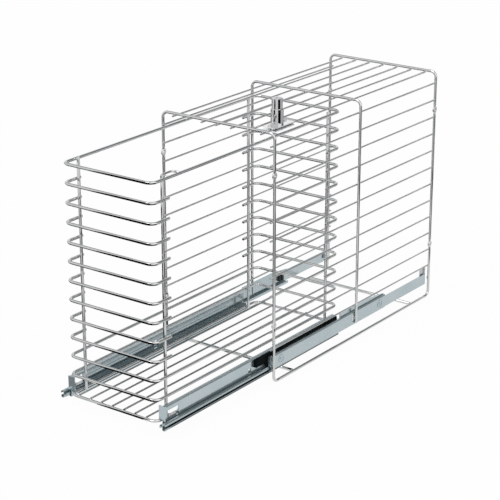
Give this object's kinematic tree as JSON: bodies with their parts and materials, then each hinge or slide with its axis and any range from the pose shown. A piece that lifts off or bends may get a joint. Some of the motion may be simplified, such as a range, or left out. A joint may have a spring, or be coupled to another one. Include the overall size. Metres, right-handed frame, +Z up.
{
  "type": "base cabinet pull-out",
  "caption": "Narrow chromed wire basket on telescopic ball slides inside a fixed wire cage, with a push-in key lock above the basket's top rail.",
  "frame": {"origin": "middle of the base: halfway across and along the part as stored, level with the underside of the cage's bottom rods", "axes": "+X to the cabinet's right side seen from the front, +Y from the front to the back along the slides, +Z up"},
  "size_m": [0.2298, 0.77, 0.4673],
  "materials": {
    "chromed_wire": "bright chrome plate",
    "polished_chrome": "polished chrome plate",
    "zinc_plated_rail": "bluish zinc plate, satin",
    "zinc_plated_fixings": "zinc plate",
    "black_plastic": "moulded",
    "black_rubber": "moulded",
    "steel_balls": "ground steel"
  },
  "bodies": {
    "cage": {"cage_front_hoop": "chromed_wire", "cage_rear_hoop": "chromed_wire", "cage_middle_hoop": "chromed_wire", "cage_bottom_rods": "chromed_wire", "cage_cross_rods": "chromed_wire", "cage_top_wires": "chromed_wire", "cage_left_side_wires": "chromed_wire", "cage_right_side_wires": "chromed_wire", "left_cabinet_rail": "zinc_plated_rail", "left_rear_bracket": "zinc_plated_rail", "left_rail_buffer": "black_rubber", "right_cabinet_rail": "zinc_plated_rail", "right_rear_bracket": "zinc_plated_rail", "right_rail_buffer": "black_rubber", "lock_plate": "polished_chrome", "lock_clamp_plate": "zinc_plated_fixings", "lock_plate_screws": "zinc_plated_fixings", "lock_bushes": "zinc_plated_fixings", "lock_sleeve": "polished_chrome", "lock_nut": "zinc_plated_fixings", "lock_spring": "zinc_plated_fixings"},
    "left_middle_rail": {"left_middle_rail": "zinc_plated_rail"},
    "right_middle_rail": {"right_middle_rail": "zinc_plated_rail"},
    "left_outer_balls": {"left_outer_ball_retainer": "black_plastic", "left_outer_balls": "steel_balls"},
    "right_outer_balls": {"right_outer_ball_retainer": "black_plastic", "right_outer_balls": "steel_balls"},
    "left_inner_balls": {"left_inner_ball_retainer": "black_plastic", "left_inner_balls": "steel_balls"},
    "right_inner_balls": {"right_inner_ball_retainer": "black_plastic", "right_inner_balls": "steel_balls"},
    "basket": {"basket_top_ring": "chromed_wire", "basket_lower_ring": "chromed_wire", "basket_carrying_ring": "chromed_wire", "basket_bottom_frame": "chromed_wire", "basket_front_wires": "chromed_wire", "basket_rear_wires": "chromed_wire", "basket_uprights": "chromed_wire", "basket_floor_wires": "chromed_wire", "basket_lock_eye": "chromed_wire", "left_drawer_rail": "zinc_plated_rail", "left_guide_strip": "black_plastic", "left_seat_strip": "zinc_plated_rail", "left_front_adjuster": "zinc_plated_fixings", "right_drawer_rail": "zinc_plated_rail", "right_guide_strip": "black_plastic", "right_seat_strip": "zinc_plated_rail", "right_front_adjuster": "zinc_plated_fixings"},
    "lock_barrel": {"lock_barrel": "polished_chrome", "lock_bolt": "polished_chrome"},
    "lock_core": {"lock_core": "polished_chrome"}
  },
  "joints": [
    {"name": "left_middle_slide", "type": "slide", "parent": "cage", "child": "left_middle_rail", "axis": [0, 1, 0], "range_m": [0, 0.2714]},
    {"name": "right_middle_slide", "type": "slide", "parent": "cage", "child": "right_middle_rail", "axis": [0, 1, 0], "range_m": [0, 0.2714]},
    {"name": "left_outer_balls_slide", "type": "slide", "parent": "cage", "child": "left_outer_balls", "axis": [0, 1, 0], "range_m": [0, 0.1357]},
    {"name": "right_outer_balls_slide", "type": "slide", "parent": "cage", "child": "right_outer_balls", "axis": [0, 1, 0], "range_m": [0, 0.1357]},
    {"name": "basket_slide", "type": "slide", "parent": "left_middle_rail", "child": "basket", "axis": [0, -1, 0], "range_m": [0, 0.2]},
    {"name": "left_inner_balls_slide", "type": "slide", "parent": "left_middle_rail", "child": "left_inner_balls", "axis": [0, -1, 0], "range_m": [0, 0.1]},
    {"name": "right_inner_balls_slide", "type": "slide", "parent": "right_middle_rail", "child": "right_inner_balls", "axis": [0, -1, 0], "range_m": [0, 0.1]},
    {"name": "lock_press", "type": "slide", "parent": "cage", "child": "lock_barrel", "axis": [0, 0, -1], "range_m": [0, 0.012], "stiffness_N_per_m": 500, "springref_m": -0.006, "deforming": ["lock_spring"]},
    {"name": "key_turn", "type": "hinge", "parent": "lock_barrel", "child": "lock_core", "pos_m": [0.078, -0.057, 0.4625], "axis": [0, 0, 1], "range_deg": [0, 90]}
  ],
  "couplings": [
    {"joint": "right_middle_slide", "follows": "left_middle_slide", "ratio": 1},
    {"joint": "left_outer_balls_slide", "follows": "left_middle_slide", "ratio": 0.5},
    {"joint": "right_outer_balls_slide", "follows": "left_middle_slide", "ratio": 0.5},
    {"joint": "left_inner_balls_slide", "follows": "basket_slide", "ratio": 0.5},
    {"joint": "right_inner_balls_slide", "follows": "basket_slide", "ratio": 0.5}
  ]
}
